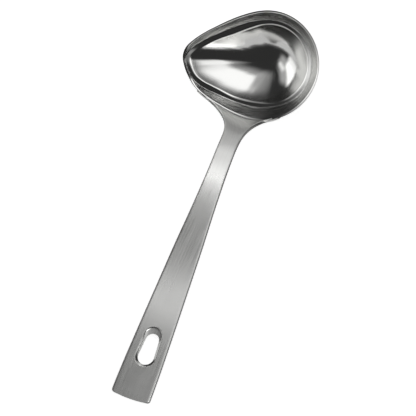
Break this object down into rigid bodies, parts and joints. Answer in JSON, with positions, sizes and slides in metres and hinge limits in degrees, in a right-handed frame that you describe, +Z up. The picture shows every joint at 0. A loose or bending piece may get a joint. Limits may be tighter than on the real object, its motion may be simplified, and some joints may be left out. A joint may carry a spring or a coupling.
{
  "type": "serving ladle",
  "caption": "Stainless sauce ladle: a deep round bowl drawn out into a side pouring spout, a steep band under the rim, and a curved brushed handle with a hanging slot.",
  "frame": {"origin": "the point where the bowl's underside rests on a table, with the ladle lying on its bowl and on the end of its handle", "axes": "+X right seen from the handle's end, with the spout on the -X side; +Y from the handle's end towards the bowl; +Z up from the table"},
  "size_m": [0.0912, 0.2579, 0.0473],
  "materials": {
    "polished_steel": "mirror-polished cup with a satin band under a polished rim",
    "brushed_steel": "fine lengthwise brushing with polished edges",
    "weld_steel": "weld ground smooth and polished"
  },
  "bodies": {
    "root": {"bowl": "polished_steel", "handle": "brushed_steel", "weld_seam": "weld_steel"}
  },
  "joints": []
}
